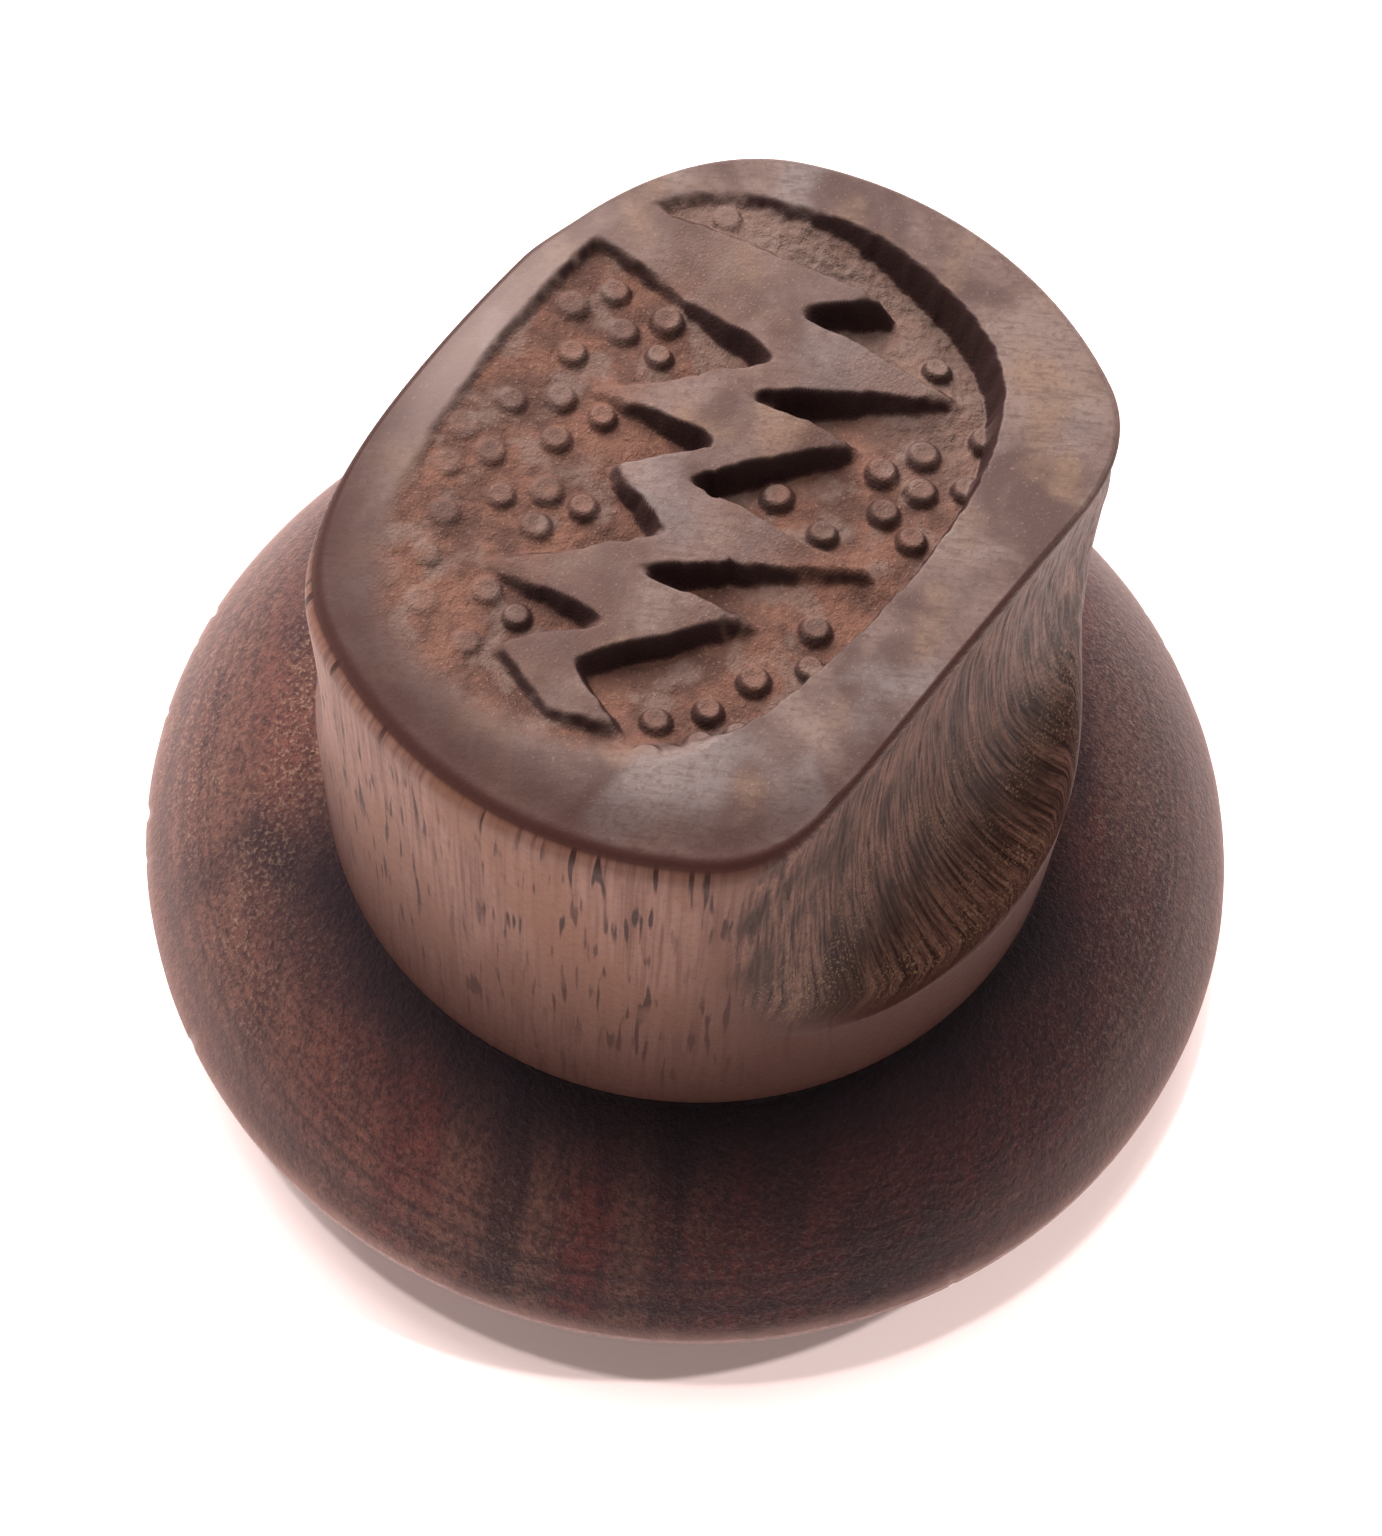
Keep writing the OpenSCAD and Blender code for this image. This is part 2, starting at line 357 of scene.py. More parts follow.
# Points along a side of the top's grid, and the step down the wall: quick, then fine.
GRIP_GRID, GRIP_STEP, ROLL_RINGS = (240, 420), (0.3, 0.14), 13
AXIS_R = 0.4  # radius of the caps that close the bores


def build_grip(fine):
    """The carved top as a grid of heights, and the wall as rings that run down from its border."""
    n = GRIP_GRID[fine]
    radius, angle = even_disc(n)
    loop = rim_loop(n)
    theta = angle.ravel()[loop]
    edge_r = wall(angle, np.full(angle.shape, GRIP_H))[0] - roll(angle)
    r = radius * edge_r
    x, y = r * np.cos(angle), r * np.sin(angle)
    depth, floor, bead = carve(x, y)
    low = EDGE_SAG * (1 + 2.5 * smoothstep(-4, -11, x) - 0.6 * smoothstep(0, 8, x))
    gap = edge_r - r
    sag = low * smoothstep(SAG_W, 0.0, gap) ** 2
    near = smoothstep(-0.2, -0.8, np.cos(angle))
    # Burnish and painted shade spread onto the border near the rolled edge, widest at the near end.
    rim_burnish_shade = rim_burnish_shade_share(angle, 0) * smoothstep(0.7 + 2.3 * near, 0, gap)
    # Where the carving is steep, its walls get painted shade.
    steep = np.hypot(*np.gradient(depth)) * (n - 1) / (2 * GRIP_R)
    zero = np.zeros(n * n)
    shares = {"floor": [floor.ravel()], "bead": [bead.ravel()],
              "steep": [(smoothstep(0.5, 1.6, steep) * (1 - 0.4 * bead)).ravel()],
              "scoop": [zero], "side": [zero], "rim_burnish_shade": [rim_burnish_shade.ravel()],
              "across": [x.ravel()], "down": [zero]}
    points = [np.column_stack([x.ravel(), y.ravel(), (TOP - depth - sag).ravel()])]

    flat, rho = np.ones(len(theta)), roll(theta)
    shelf = low.ravel()[loop]
    down, above = np.zeros(len(theta)), points[0][loop]
    turned = np.mod(theta, 2 * math.pi)
    # Inside a scoop the grain runs straight, in step with the plain wall where they meet.
    meet = math.radians(138)
    along = GRIP_R * (np.cos(theta) - math.cos(meet))
    front_across, back_across = GRIP_R * (2 * math.pi - meet) + along, GRIP_R * meet - along
    scoop_across = np.where(turned > math.pi, front_across, back_across)

    def add_ring(ring_r, ring_z, scoop, side, rim_burnish_shade, marks=0.0):
        """One ring of the wall, with its shares; across and down unroll the wall for the grain."""
        nonlocal down, above
        ring = np.column_stack([ring_r * np.cos(theta), ring_r * np.sin(theta), ring_z * flat])
        down, above = down + np.linalg.norm(ring - above, axis=1), ring
        shown_r = (ring_r + marks) * flat
        points.append(np.column_stack([shown_r * np.cos(theta), shown_r * np.sin(theta), ring[:, 2]]))
        across = scoop * scoop_across + (1 - scoop) * GRIP_R * turned
        values = {"scoop": scoop, "side": side, "rim_burnish_shade": rim_burnish_shade, "across": across, "down": down}
        for key, parts in shares.items():
            parts.append(values.get(key, 0.0) * flat)

    for phi in np.linspace(0, math.pi / 2, ROLL_RINGS)[1:]:
        drop, turn = rho * (1 - math.cos(phi)) + shelf, math.sin(phi)
        wall_r, scoop = wall(theta, GRIP_H - drop)
        add_ring(wall_r - rho * (1 - turn), TOP - drop, scoop * turn, smoothstep(0.48, 0.70, turn),
                 rim_burnish_shade_share(theta, turn))
    for level in even_heights(GRIP_STEP[fine])[1:]:
        height = level * (GRIP_H - rho - shelf) / GRIP_H
        wall_r, scoop = wall(theta, height)
        marks = np.minimum(scoop * scoop_marks(theta, wall_r, height), 0)
        # Burnish and painted shade carry on a little down the wall below the roll.
        rim_burnish_shade = rim_burnish_shade_share(theta, 1) * smoothstep(1.0, 0, GRIP_H - rho - shelf - height)
        add_ring(wall_r, SEAT + height, scoop, 1.0, rim_burnish_shade, marks)
    underside = ((wall_r - 0.15, SEAT), (BORE_R, SEAT), (BORE_R, BORE_HIGH), (AXIS_R, BORE_HIGH))
    for ring_r, ring_z in underside:
        add_ring(ring_r * flat, ring_z, 0.0, 1.0, 0.0)
    cells = np.arange(n * n).reshape(n, n)
    quads = [np.column_stack([cells[:-1, :-1].ravel(), cells[1:, :-1].ravel(),
                              cells[1:, 1:].ravel(), cells[:-1, 1:].ravel()])]
    previous = loop
    for k in range(len(points) - 1):
        current = n * n + k * len(theta) + np.arange(len(theta))
        quads.append(ring_quads(previous, current))
        previous = current
    joined = {key: np.concatenate(parts) for key, parts in shares.items()}
    return make_mesh("grip_carved", np.vstack(points), np.vstack(quads), [previous[::-1]], joined)


EDGE_H, EDGE_LAND, COVE_R, FOOT_R, FOOT_ROUND = 7.3, 0.5, 4.3, 21.0, 0.8
CROWN_AT, COVE_OUT = 12.0, 0.6
CROWN_POINTS, COVE_POINTS, FOOT_POINTS = 90, 40, 12


def disc_profile(fine):
    """Section of the disc as (radius, height), from the bore over the crown to the rest face."""
    step = 1 if fine else 2
    # The crown is one arc through the grip's foot and the burnishing edge.
    run = (DISC_R - CROWN_AT) ** 2 - (GRIP_R - CROWN_AT) ** 2
    crown_z = (run + EDGE_H**2 - SEAT**2) / (2 * (EDGE_H - SEAT))
    crown_r = math.hypot(DISC_R - CROWN_AT, EDGE_H - crown_z)
    start = math.atan2(SEAT - crown_z, GRIP_R - CROWN_AT)
    end = math.atan2(EDGE_H - crown_z, DISC_R - CROWN_AT)
    bow = np.linspace(start, end, CROWN_POINTS // step)
    crown = np.column_stack([CROWN_AT + crown_r * np.cos(bow), crown_z + crown_r * np.sin(bow)])
    cove_at = DISC_R + COVE_OUT
    cove_z = EDGE_H - EDGE_LAND - math.sqrt(COVE_R**2 - COVE_OUT**2)
    low = math.asin((FOOT_ROUND - cove_z) / COVE_R) if cove_z > FOOT_ROUND else 0.0
    turn = np.linspace(math.acos(-COVE_OUT / COVE_R), math.pi - low, COVE_POINTS // step)
    cove = np.column_stack([cove_at + COVE_R * np.cos(turn), cove_z + COVE_R * np.sin(turn)])
    cove = cove[(cove[:, 0] > FOOT_R) & (cove[:, 1] > FOOT_ROUND)]
    bend = np.linspace(0, -math.pi / 2, FOOT_POINTS // step)
    foot = np.column_stack([FOOT_R - FOOT_ROUND + FOOT_ROUND * np.cos(bend),
                            FOOT_ROUND + FOOT_ROUND * np.sin(bend)])
    bore = np.array([[AXIS_R, BORE_LOW], [BORE_R, BORE_LOW], [BORE_R, SEAT], [9, SEAT], [14, SEAT]])
    land = np.array([[DISC_R, EDGE_H - 0.15], [DISC_R, EDGE_H - 0.3]])
    return np.vstack([bore, crown, land, cove, foot, [[12, 0], [AXIS_R, 0]]])


DISC_COLUMNS = (480, 960)     # quick, then fine
# The burnishing edge also carries a painted highlight.
ARRIS_R, ARRIS_H = 0.34, 0.6  # reach of the worn burnishing edge, in radius and in height


def build_disc(fine):
    """The turned disc, a little uneven, with a nicked burnishing edge that shows wear and a painted
    highlight.
    """
    columns = DISC_COLUMNS[fine]
    theta = np.linspace(0, 2 * math.pi, columns, endpoint=False)
    profile = disc_profile(fine)
    rings, worn_highlight = [], []
    for r, z in profile:
        x, y = r * np.cos(theta), r * np.sin(theta)
        shown = 1.0 if r > GRIP_R and z > 1 else 0.0
        dip = 0.05 * (1 + noise(x / 5, y / 5, z / 5, 31))
        dip = dip + 0.02 * (1 + noise(x / 1.2, y / 1.2, z / 1.2, 32))
        near_edge = math.exp(-(((r - DISC_R) / ARRIS_R) ** 2)) * math.exp(-(((z - EDGE_H) / ARRIS_H) ** 2))
        nick = 0.10 * smoothstep(0.55, 0.9, noise(x / 0.9, y / 0.9, 0, 33)) * near_edge
        patches, chips = noise(x / 9, y / 9, 0, 35), noise(x / 0.7, y / 0.7, 0, 34)
        # Share of the edge's wear and painted highlight, in patches and chips.
        worn_highlight.append(near_edge * (0.72 + 0.22 * patches + 0.14 * chips))
        radius = r - shown * (0.4 * dip + nick)
        height = z - shown * 0.3 * dip * (1 if z > EDGE_H else 0)
        height = height * np.ones(columns)
        rings.append(np.column_stack([radius * np.cos(theta), radius * np.sin(theta), height]))
    points = np.vstack(rings)
    index = np.arange(len(rings) * columns).reshape(len(rings), columns)
    quads = np.vstack([ring_quads(index[k], index[k + 1]) for k in range(len(rings) - 1)])
    caps = [index[0], index[-1][::-1]]
    return make_mesh("disc_turned", points, quads, caps, {"worn_highlight": np.concatenate(worn_highlight)})


# ---------------------------------------------------------------- materials

class Shader:
    """Builds a node tree, one line per node."""

    def __init__(self, material):
        material.use_nodes = True
        self.tree = material.node_tree
        self.tree.nodes.clear()

    def add(self, kind, inputs=(), **settings):
        node = self.tree.nodes.new("ShaderNode" + kind)
        for key, value in settings.items():
            setattr(node, key, value)
        for key, value in dict(inputs).items():
            if isinstance(value, bpy.types.NodeSocket):
                self.tree.links.new(value, node.inputs[key])
            else:
                node.inputs[key].default_value = value
        return node

    def position(self):
        """Position in millimetres."""
        here = self.add("TexCoord").outputs["Object"]
        return self.add("VectorMath", {0: here, "Scale": 1000.0}, operation="SCALE").outputs[0]

    def share(self, name):
        return self.add("Attribute", attribute_name=name).outputs["Fac"]

    def stretch(self, vector, x, y, z):
        return self.add("VectorMath", {0: vector, 1: (x, y, z)}, operation="MULTIPLY").outputs[0]

    def dot(self, vector, direction):
        """How far the vector runs along a level direction."""
        level = (direction[0], direction[1], 0.0)
        return self.add("VectorMath", {0: vector, 1: level}, operation="DOT_PRODUCT").outputs["Value"]

    def split(self, vector, axis):
        return self.add("SeparateXYZ", {0: vector}).outputs[axis]

    def turned(self, vector):
        """The vector turned about the axis, so that X runs across the camera's view."""
        settings = {"Vector": vector, "Angle": math.atan2(RIGHT[1], RIGHT[0])}
        return self.add("VectorRotate", settings, rotation_type="Z_AXIS", invert=True).outputs[0]

    def noise(self, vector, scale, detail=2.0, roughness=0.5, distortion=0.0):
        values = {"Vector": vector, "Scale": scale, "Detail": detail, "Roughness": roughness,
                  "Distortion": distortion}
        return self.add("TexNoise", values).outputs["Fac"]

    def step(self, value, low, high, to_low=0.0, to_high=1.0):
        """Runs softly from to_low to to_high while the value runs from low to high."""
        values = {"Value": value, "From Min": low, "From Max": high, "To Min": to_low, "To Max": to_high}
        return self.add("MapRange", values, interpolation_type="SMOOTHSTEP").outputs["Result"]

    def math(self, operation, a, b=0.0):
        return self.add("Math", {0: a, 1: b}, operation=operation).outputs[0]

    def mix(self, share, a, b, blend="MIX"):
        def shade(c):
            return (*c, 1.0) if isinstance(c, tuple) and len(c) == 3 else c
        node = self.add("Mix", {0: share, 6: shade(a), 7: shade(b)}, data_type="RGBA", blend_type=blend)
        return node.outputs[2]

    def finish(self, colour, roughness, bumps, specular=0.5, coat=0.0):
        """Ends the tree in one surface; bumps are (height, distance in millimetres, strength)."""
        normal = None
        for height, distance, strength in bumps:
            values = {"Height": height, "Distance": distance * MM, "Strength": strength}
            if normal is not None:
                values["Normal"] = normal
            normal = self.add("Bump", values).outputs["Normal"]
        values = {"Base Color": colour, "Roughness": roughness, "Specular IOR Level": specular,
                  "Coat Weight": coat, "Coat Roughness": 0.45}
        if normal is not None:
            values["Normal"] = normal
        surface = self.add("BsdfPrincipled", values)
        out = self.add("OutputMaterial")
        self.tree.links.new(surface.outputs[0], out.inputs[0])


BORDER_PALE, BORDER_DARK, BORDER_WARM = (0.215, 0.170, 0.148), (0.098, 0.068, 0.060), (0.230, 0.165, 0.115)
# The grey also stands partly for a painted sheen, and the last colour is a painted sheen.
BORDER_GREY_SHEEN, BORDER_FLECK, BORDER_SHEEN = (0.235, 0.220, 0.215), (0.34, 0.28, 0.24), (0.40, 0.34, 0.31)
FLOOR_PALE, FLOOR_DARK, FLOOR_GREY = (0.190, 0.104, 0.074), (0.092, 0.053, 0.042), (0.200, 0.155, 0.132)
FLOOR_FLECK = (0.42, 0.30, 0.22)
WALL_PALE, WALL_DARK, WALL_WARM = (0.252, 0.146, 0.112), (0.140, 0.070, 0.051), (0.200, 0.102, 0.066)
# The second colour is painted shade for the lower wall and its front side.
PORE, WALL_SHADE = (0.040, 0.021, 0.016), (0.060, 0.026, 0.020)
SCOOP_PALE, SCOOP_DARK, FIBRE = (0.205, 0.115, 0.084), (0.028, 0.015, 0.012), (0.250, 0.165, 0.095)
DISC_RED, DISC_BROWN, DISC_DARK = (0.112, 0.028, 0.024), (0.134, 0.063, 0.047), (0.022, 0.011, 0.013)
# The last two are a painted highlight on the burnishing edge, with its wear, and a painted sheen for the
# disc's sides.
DISC_FLECK, WORN_HIGHLIGHT, DISC_SHEEN = (0.215, 0.145, 0.098), (0.300, 0.190, 0.162), (0.235, 0.158, 0.142)
DOWEL_PALE, DOWEL_DARK, DOWEL_RAY = (0.58, 0.41, 0.25), (0.42, 0.27, 0.15), (0.30, 0.17, 0.09)
# Dark colours for painted shade: on the carving's steep walls, on the rolled edge (with its darker
# burnish), and on the disc.
CUT_SHADE, RIM_BURNISH_SHADE, DISC_SHADE = (0.042, 0.023, 0.022), (0.042, 0.014, 0.011), (0.012, 0.0075, 0.0115)


def grip_material():
    material = bpy.data.materials.new("grip_walnut")
    s = Shader(material)
    p = s.position()
    fine, grit = s.noise(p, 3.2, 3.0, 0.7), s.noise(p, 8.0, 2.0, 0.6)
    # End grain of the border and the raised band.
    border = s.mix(s.step(s.noise(p, 0.22, 3.0, 0.55, 0.6), 0.35, 0.68), BORDER_DARK, BORDER_PALE)
    border = s.mix(s.step(s.noise(p, 0.35, 2.0), 0.52, 0.72, 0.0, 0.7), border, BORDER_WARM)
    # Grey patches of tone, which partly stand for a painted sheen.
    border = s.mix(s.step(s.noise(p, 0.16, 2.0, 0.5, 0.4), 0.52, 0.66, 0.0, 0.6), border, BORDER_GREY_SHEEN)
    grain = s.noise(s.stretch(s.turned(p), 0.9, 5.0, 5.0), 1.0, 3.0, 0.7)
    border = s.mix(s.step(grain, 0.46, 0.70, 0.0, 0.5), border, BORDER_DARK)
    border = s.mix(s.step(fine, 0.46, 0.70, 0.0, 0.45), border, BORDER_DARK)
    border = s.mix(s.step(grit, 0.60, 0.74, 0.0, 0.35), border, BORDER_FLECK)
    # Painted sheen on the far left of the border; its near left is made darker.
    to_left, along = s.dot(p, -RIGHT), s.split(p, "X")
    sheen = s.math("MULTIPLY", s.step(to_left, 1.0, 13.0, 0.0, 0.6), s.step(along, -10.0, 2.0))
    border = s.mix(sheen, border, BORDER_SHEEN)
    near_left = s.math("MULTIPLY", s.step(to_left, 2.0, 10.0, 0.0, 0.5), s.step(along, -2.0, -9.0))
    border = s.mix(near_left, border, BORDER_DARK)
    # Rougher, redder ground of the pocket.
    ground = s.mix(s.step(s.noise(p, 0.45, 4.0, 0.6), 0.35, 0.65), FLOOR_DARK, FLOOR_PALE)
    ground = s.mix(s.step(s.noise(p, 0.6, 2.0), 0.50, 0.66, 0.0, 0.6), ground, FLOOR_GREY)
    ground = s.mix(s.step(fine, 0.46, 0.68, 0.0, 0.4), ground, FLOOR_DARK)
    crumbly = s.step(s.dot(p, 0.8 * AWAY + 0.6 * RIGHT), 4.0, 11.0, 0.0, 0.6)
    ground = s.mix(crumbly, ground, FLOOR_GREY)
    ground = s.mix(s.step(grit, 0.60, 0.72, 0.0, 0.35), ground, FLOOR_FLECK)
    ground = s.mix(s.math("MULTIPLY", s.share("bead"), 0.22), ground, BORDER_PALE)
    top = s.mix(s.share("floor"), border, ground)
    # Painted shade on the steep walls of the carving, less on the beads.
    top = s.mix(s.share("steep"), top, CUT_SHADE)
    # Long grain of the plain wall: faint lines, with clusters of short dark pores.
    unrolled = s.add("CombineXYZ", {"X": s.share("across"), "Y": s.share("down")}).outputs[0]
    lines = s.noise(s.stretch(unrolled, 3.6, 0.10, 1), 1.0, 3.0, 0.6, 0.2)
    clusters = s.step(s.noise(s.stretch(unrolled, 0.30, 0.20, 1), 1.0, 2.0), 0.38, 0.60)
    dashes = s.noise(s.stretch(unrolled, 3.2, 0.27, 1), 1.0, 1.0, 0.4, 0.1)
    side = s.mix(s.step(lines, 0.28, 0.66), WALL_DARK, WALL_PALE)
    warm = s.noise(s.stretch(unrolled, 0.22, 0.12, 1), 1.0, 2.0)
    side = s.mix(s.step(warm, 0.45, 0.62, 0.0, 0.8), side, WALL_WARM)
    side = s.mix(s.step(fine, 0.48, 0.72, 0.0, 0.35), side, WALL_DARK)
    pores = s.math("MULTIPLY", s.step(dashes, 0.565, 0.66, 0.0, 0.9), s.math("ADD", 0.30, clusters))
    side = s.mix(pores, side, PORE)
    # Painted shade: the wall darkens down towards the disc, and on its front side.
    side = s.mix(s.step(s.share("down"), 4.0, 22.5, 0.0, 0.9), side, WALL_SHADE)
    front_shade = s.step(s.split(p, "Y"), -7.0, -13.0, 0.0, 0.7)
    side = s.mix(front_shade, side, WALL_SHADE)
    # Torn, dark long grain inside the scoops.
    furrow = s.noise(s.stretch(unrolled, 4.4, 0.26, 1), 1.0, 3.0, 0.65)
    torn = s.noise(s.stretch(unrolled, 6.0, 3.4, 1), 1.0, 3.0, 0.8)
    cut = s.mix(s.step(furrow, 0.33, 0.68), SCOOP_DARK, SCOOP_PALE)
    cut = s.mix(s.step(torn, 0.44, 0.66, 0.0, 0.62), cut, SCOOP_DARK)
    smudges = s.noise(s.stretch(unrolled, 0.45, 0.22, 1), 1.0, 2.0)
    cut = s.mix(s.step(smudges, 0.48, 0.64, 0.0, 0.6), cut, SCOOP_DARK)
    low = s.step(s.share("down"), 8.0, 15.0, 0.25, 0.85)
    patches = s.step(s.noise(unrolled, 0.30, 2.0), 0.42, 0.60)
    fibres = s.math("MULTIPLY", s.step(grit, 0.54, 0.66), s.math("MULTIPLY", patches, low))
    cut = s.mix(fibres, cut, FIBRE)
    side = s.mix(s.share("scoop"), side, cut)
    colour = s.mix(s.share("side"), top, side)
    # The rolled edge: darker burnished wood, with painted shade where it turns over.
    colour = s.mix(s.share("rim_burnish_shade"), colour, RIM_BURNISH_SHADE)
    rough = s.math("ADD", 0.40, s.math("MULTIPLY", fine, 0.25))
    rough = s.math("ADD", rough, s.math("MULTIPLY", s.share("floor"), 0.15))
    scoop_bump = s.math("MULTIPLY", furrow, s.share("scoop"))
    floor_bump = s.math("MULTIPLY", grit, s.share("floor"))
    shine = s.step(s.share("side"), 0.0, 0.8, 0.5, 0.12)
    bumps = [(fine, 0.05, 0.4), (grit, 0.03, 0.4), (scoop_bump, 0.16, 0.6), (floor_bump, 0.15, 0.5)]
    s.finish(colour, rough, bumps, specular=shine)
    return material


def disc_material():
    material = bpy.data.materials.new("disc_walnut")
    s = Shader(material)
    p = s.position()
    turned = s.turned(p)
    bands = s.noise(s.stretch(turned, 0.20, 0.04, 0.04), 1.0, 2.0, 0.5, 0.4)
    shade = s.noise(s.stretch(turned, 0.26, 0.07, 0.07), 1.0, 2.0, 0.5, 0.8)
    speckle, grit = s.noise(p, 3.0, 3.0, 0.75), s.noise(p, 5.0, 2.0, 0.65)
    streak = s.noise(s.stretch(turned, 1.1, 0.20, 0.20), 1.0, 3.0, 0.6)
    flat = s.stretch(p, 1, 1, 0)
    out = s.add("VectorMath", {0: flat}, operation="LENGTH").outputs["Value"]
    heading = s.add("VectorMath", {0: flat}, operation="NORMALIZE").outputs[0]
    to_left, facing = s.dot(heading, -RIGHT), s.dot(heading, -AWAY)
    red = s.math("MULTIPLY", s.step(bands, 0.42, 0.60), s.step(to_left, 0.2, 0.9, 1.0, 0.35))
    colour = s.mix(red, DISC_BROWN, DISC_RED)
    colour = s.mix(s.step(shade, 0.52, 0.68, 0.0, 0.75), colour, DISC_DARK)
    colour = s.mix(s.step(streak, 0.45, 0.72, 0.0, 0.45), colour, DISC_DARK)
    colour = s.mix(s.step(speckle, 0.36, 0.66, 0.0, 0.72), colour, DISC_DARK)
    rich = s.step(s.noise(s.stretch(turned, 0.16, 0.05, 0.05), 1.0, 2.0, 0.5, 0.5), 0.46, 0.60, 0.3, 1.0)
    rich = s.math("MULTIPLY", rich, s.step(facing, 0.2, 0.9, 1.0, 0.35))
    colour = s.mix(s.math("MULTIPLY", s.step(grit, 0.50, 0.68, 0.0, 0.8), rich), colour, DISC_FLECK)
    # Faint lines of turning near the edge, and painted shade on the side away from the light.
    wavy = s.add("CombineXYZ", {"X": out, "Y": s.math("MULTIPLY", speckle, 0.1)}).outputs[0]
    ring = s.noise(wavy, 2.4, 2.0, 0.6)
    lines = s.math("MULTIPLY", s.step(ring, 0.44, 0.62, 0.0, 0.5), s.step(out, 19.5, 23.0))
    colour = s.mix(lines, colour, DISC_DARK)
    shaded = s.dot(heading, 0.95 * RIGHT - 0.3 * AWAY)
    colour = s.mix(s.step(shaded, -0.2, 0.8, 0.0, 0.42), colour, DISC_SHADE)
    # Painted sheen near the disc's left and right edges.
    sideways = s.step(s.math("ABSOLUTE", to_left), 0.3, 0.95)
    edge_sheen = s.math("MULTIPLY", sideways, s.step(out, 21.8, DISC_R, 0.0, 0.38))
    colour = s.mix(edge_sheen, colour, DISC_SHEEN)
    # The burnishing edge: lighter with wear, and a painted highlight.
    colour = s.mix(s.share("worn_highlight"), colour, WORN_HIGHLIGHT)
    # Painted shadow of the grip, cast on the disc around its foot on the camera's side.
    ragged = s.math("ADD", out, s.math("MULTIPLY", s.noise(p, 0.35, 2.0), 3.0))
    grip_shadow = s.math("MULTIPLY", s.step(ragged, 18.2, 24.0, 0.95, 0.0), s.step(facing, 0.0, 0.45))
    colour = s.mix(grip_shadow, colour, DISC_SHADE)
    rough = s.math("ADD", 0.42, s.math("MULTIPLY", speckle, 0.25))
    s.finish(colour, rough, [(speckle, 0.16, 0.7), (grit, 0.06, 0.6)], specular=0.32, coat=0.08)
    return material


def dowel_material():
    material = bpy.data.materials.new("dowel_beech")
    s = Shader(material)
    p = s.position()
    rays = s.noise(s.stretch(p, 3.0, 3.0, 0.5), 1.0, 2.0, 0.6)
    lines = s.noise(s.stretch(p, 6.0, 6.0, 0.15), 1.0, 3.0, 0.6)
    colour = s.mix(s.step(lines, 0.35, 0.65), DOWEL_DARK, DOWEL_PALE)
    colour = s.mix(s.step(rays, 0.62, 0.72, 0.0, 0.8), colour, DOWEL_RAY)
    s.finish(colour, 0.6, [(lines, 0.04, 0.4)])
    return material


SUN_PINK, PANEL_PINK, SKY_PINK = (1.0, 0.80, 0.765), (1.0, 0.88, 0.87), (1.0, 0.80, 0.77)
FLOOR_NEAR_GLOW, FLOOR_FAR_GLOW, BACKDROP = (0.20, 0.144, 0.132), (0.55, 0.55, 0.55), (1.05, 1.05, 1.05)


def floor_material():
    """Matt white that glows a little, so that the shadows stay pale; whiter away from the object."""
    material = bpy.data.materials.new("floor_white")
    s = Shader(material)
    out = s.add("VectorMath", {0: s.stretch(s.position(), 1, 1, 0)}, operation="LENGTH").outputs["Value"]
    glow = s.mix(s.step(out, 27.0, 55.0), FLOOR_NEAR_GLOW, FLOOR_FAR_GLOW)
    surface = s.add("BsdfPrincipled", {"Base Color": (0.80, 0.80, 0.80, 1.0), "Roughness": 0.9,
                                       "Specular IOR Level": 0.0, "Emission Color": glow,
                                       "Emission Strength": 1.0})
    s.tree.links.new(surface.outputs[0], s.add("OutputMaterial").inputs[0])
    return material


# ---------------------------------------------------------------- stage

def build_floor():
    """A wide round floor a hair under the rest face, with rings that widen outwards."""
    radius, rings, below = 3000.0, 40, 0.01
    theta = np.linspace(0, 2 * math.pi, 96, endpoint=False)
    circle = np.column_stack([np.cos(theta), np.sin(theta), 0 * theta])
    points = np.vstack([r * circle for r in radius * np.linspace(0.003, 1, rings) ** 3])
    points[:, 2] = -below
    index = np.arange(rings * len(theta)).reshape(rings, len(theta))
    quads = np.vstack([ring_quads(index[k], index[k + 1]) for k in range(rings - 1)])
    floor = make_mesh("floor", points, quads, [index[0]])
    floor.data.materials.append(floor_material())
    return floor


def add_sun(name, lean_right, lean_away, level, spread, only=None):
    """A soft overhead light; the leans are sideways millimetres over the edge height."""
    toward = Vector((*(lean_right * RIGHT + lean_away * AWAY), EDGE_H))
    data = bpy.data.lights.new(name, "SUN")
    data.energy, data.angle, data.color = level * math.pi, math.radians(spread), SUN_PINK
    lamp = bpy.data.objects.new(name, data)
    lamp.rotation_mode = "QUATERNION"
    lamp.rotation_quaternion = toward.to_track_quat("Z", "Y")
    lamp.visible_glossy = False
    bpy.context.scene.collection.objects.link(lamp)
    if only:
        lamp.light_linking.receiver_collection = only


def add_panel(name, elevation, to_left, level, width, height, distance=600.0):
    """A large soft panel behind the object; level is its light on a flat white surface."""
    e = math.radians(elevation)
    across = AWAY * math.cos(math.radians(to_left)) - RIGHT * math.sin(math.radians(to_left))
    toward = Vector((*(across * math.cos(e)), math.sin(e)))
    solid = width * height / distance**2 * math.sin(e)
    data = bpy.data.lights.new(name, "AREA")
    data.shape, data.size, data.size_y = "RECTANGLE", width * MM, height * MM
    data.energy = math.pi * (width * height * MM * MM) * level * math.pi / solid
    data.color = PANEL_PINK
    lamp = bpy.data.objects.new(name, data)
    lamp.location = toward * distance * MM
    lamp.rotation_mode = "QUATERNION"
    lamp.rotation_quaternion = toward.to_track_quat("Z", "Y")
    lamp.visible_glossy = False
    bpy.context.scene.collection.objects.link(lamp)


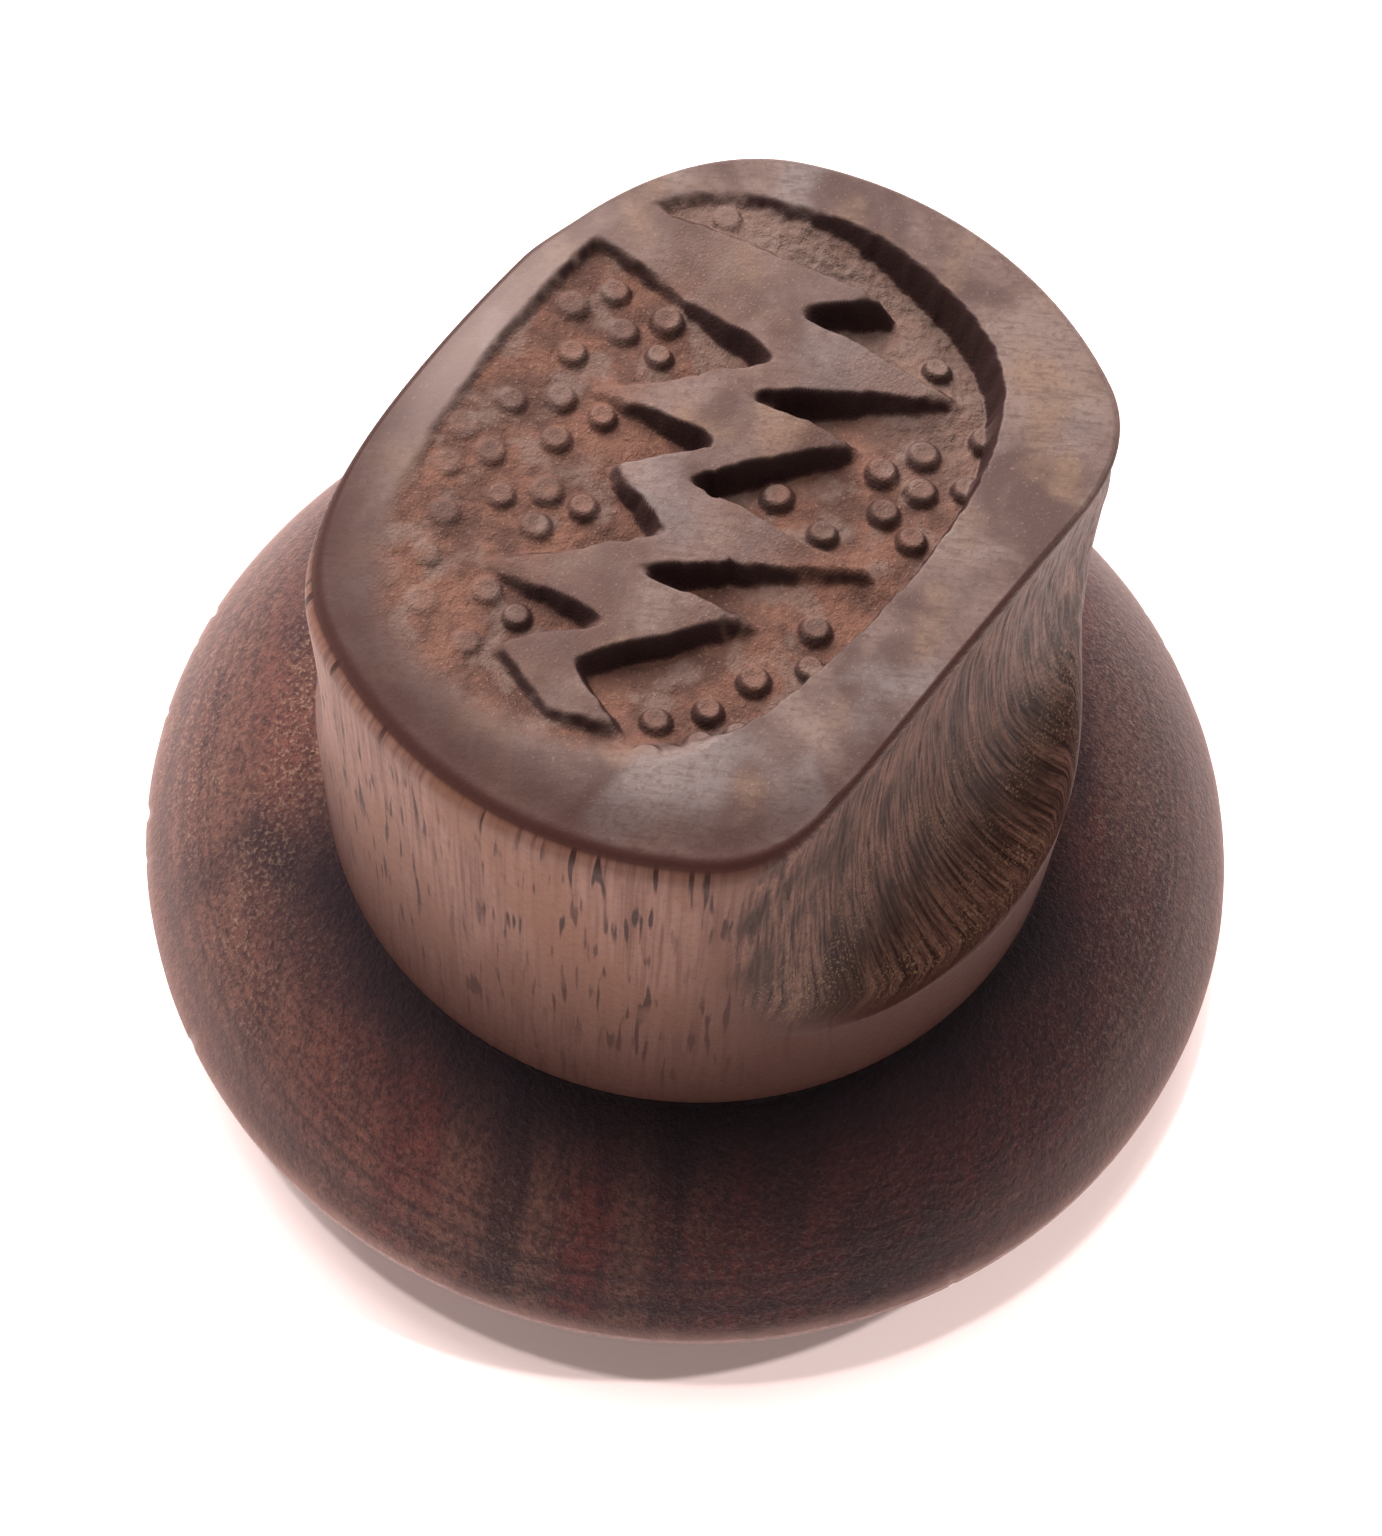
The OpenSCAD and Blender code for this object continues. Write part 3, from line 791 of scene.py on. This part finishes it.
def build_world():
    """White surroundings low down all round and behind the object, dim above the camera's side."""
    world = bpy.data.worlds.new("studio")
    bpy.context.scene.world = world
    s = Shader(world)
    ray = s.add("TexCoord").outputs["Generated"]
    ahead, rise = s.dot(ray, 0.9 * AWAY - 0.43 * RIGHT), s.split(ray, "Z")
    behind = s.step(ahead, -0.35, 0.60, 0.05, 0.68)
    low = s.math("MULTIPLY", s.step(rise, 0.15, 0.50, 0.95, 0.0), s.step(ahead, -0.9, 0.4, 0.34, 1.0))
    level = s.math("MAXIMUM", behind, low)
    seen = s.add("LightPath").outputs["Is Camera Ray"]
    soft = s.mix(level, (0.0, 0.0, 0.0), SKY_PINK)
    colour = s.mix(seen, soft, BACKDROP)
    back = s.add("Background", {"Color": colour, "Strength": 1.0})
    out = s.add("OutputWorld")
    s.tree.links.new(back.outputs[0], out.inputs[0])


CAMERA_ELEVATION, CAMERA_DISTANCE, CAMERA_ROLL = 62.19, 134.0, 5.13
CAMERA_LENS, SHIFT_X, SHIFT_Y = 70.1953125, -0.001953125, -0.005859375


def build_camera():
    """Looks down at the middle of the grip's foot, with the slight roll of a hand-held shot."""
    elevation, roll_by = math.radians(CAMERA_ELEVATION), math.radians(CAMERA_ROLL)
    back = Vector((*(-AWAY * math.cos(elevation)), math.sin(elevation))).normalized()
    data = bpy.data.cameras.new("camera")
    data.sensor_width = 36.0
    data.lens = CAMERA_LENS
    data.shift_x, data.shift_y = SHIFT_X, SHIFT_Y
    data.clip_start, data.clip_end = 0.005, 20
    camera = bpy.data.objects.new("camera", data)
    place = (-back).to_track_quat("-Z", "Y").to_matrix().to_4x4() @ Matrix.Rotation(roll_by, 4, "Z")
    place.translation = (Vector((0, 0, SEAT)) + back * CAMERA_DISTANCE) * MM
    camera.matrix_world = place
    bpy.context.scene.collection.objects.link(camera)
    bpy.context.scene.camera = camera


# ---------------------------------------------------------------- the object

def build_object():
    """The grip and the disc replace their CAD nodes; the dowel stays hidden inside, in its own wood."""
    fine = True
    grip = build_grip(fine)
    grip.data.materials.append(grip_material())
    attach(grip, "root")
    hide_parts("grip_handle")
    disc = build_disc(fine)
    disc.data.materials.append(disc_material())
    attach(disc, "root")
    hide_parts("slicker_disc")
    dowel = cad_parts["joining_dowel"]
    dowel.data.materials.clear()
    dowel.data.materials.append(dowel_material())


build_object()
# The two sharper suns light only the floor, and cast the two lobes of the shadow.
table = bpy.data.collections.new("table")
table.objects.link(build_floor())
build_world()
add_sun("table_light_left", -1.2, -0.25, 0.45, 2.8, table)
add_sun("table_light_right", 3.2, -0.05, 0.62, 2.4, table)
add_sun("overhead", -0.6, 0.8, 0.40, 14.0)
add_panel("panel", 50, 28, 1.25, 520, 400)
build_camera()
bpy.context.scene.view_settings.view_transform = "Standard"
